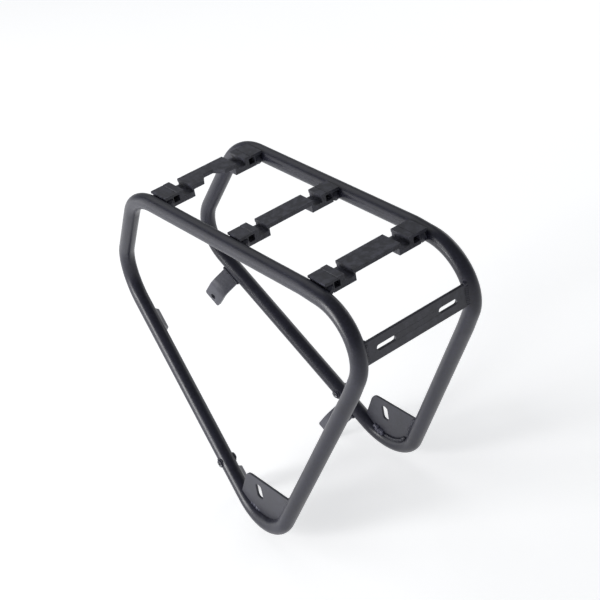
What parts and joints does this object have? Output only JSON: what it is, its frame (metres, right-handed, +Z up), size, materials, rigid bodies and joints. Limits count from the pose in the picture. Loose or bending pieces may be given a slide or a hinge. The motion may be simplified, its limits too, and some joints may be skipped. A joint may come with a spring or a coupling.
{
  "type": "bicycle rear carrier",
  "caption": "Rigid rear luggage carrier for a bicycle: bent tube side loops, grooved deck bars, a rear lamp plate, dropout plates and stay tabs.",
  "frame": {"origin": "centre of the middle deck bar's top face", "axes": "+X to the front of the bicycle, along the rails; +Y to its left; +Z up, out of the deck"},
  "size_m": [0.4081, 0.18, 0.3304],
  "materials": {
    "side_tube_left_coat": "satin black coat on aluminium",
    "side_tube_right_coat": "satin black coat on aluminium",
    "deck_bar_front_coat": "satin black coat on aluminium",
    "deck_bar_middle_coat": "satin black coat on aluminium",
    "deck_bar_rear_coat": "satin black coat on aluminium",
    "rear_lamp_plate_coat": "satin black coat on aluminium",
    "dropout_plate_left_coat": "satin black coat on aluminium",
    "stay_tab_upper_left_coat": "satin black coat on aluminium",
    "stay_tab_lower_left_coat": "satin black coat on aluminium",
    "cross_boss_left_coat": "satin black coat on aluminium",
    "dropout_plate_right_coat": "satin black coat on aluminium",
    "stay_tab_upper_right_coat": "satin black coat on aluminium",
    "stay_tab_lower_right_coat": "satin black coat on aluminium",
    "cross_boss_right_coat": "satin black coat on aluminium"
  },
  "bodies": {
    "root": {"side_tube_left": "side_tube_left_coat", "side_tube_right": "side_tube_right_coat", "deck_bar_front": "deck_bar_front_coat", "deck_bar_middle": "deck_bar_middle_coat", "deck_bar_rear": "deck_bar_rear_coat", "rear_lamp_plate": "rear_lamp_plate_coat", "dropout_plate_left": "dropout_plate_left_coat", "stay_tab_upper_left": "stay_tab_upper_left_coat", "stay_tab_lower_left": "stay_tab_lower_left_coat", "cross_boss_left": "cross_boss_left_coat", "dropout_plate_right": "dropout_plate_right_coat", "stay_tab_upper_right": "stay_tab_upper_right_coat", "stay_tab_lower_right": "stay_tab_lower_right_coat", "cross_boss_right": "cross_boss_right_coat"}
  },
  "joints": []
}
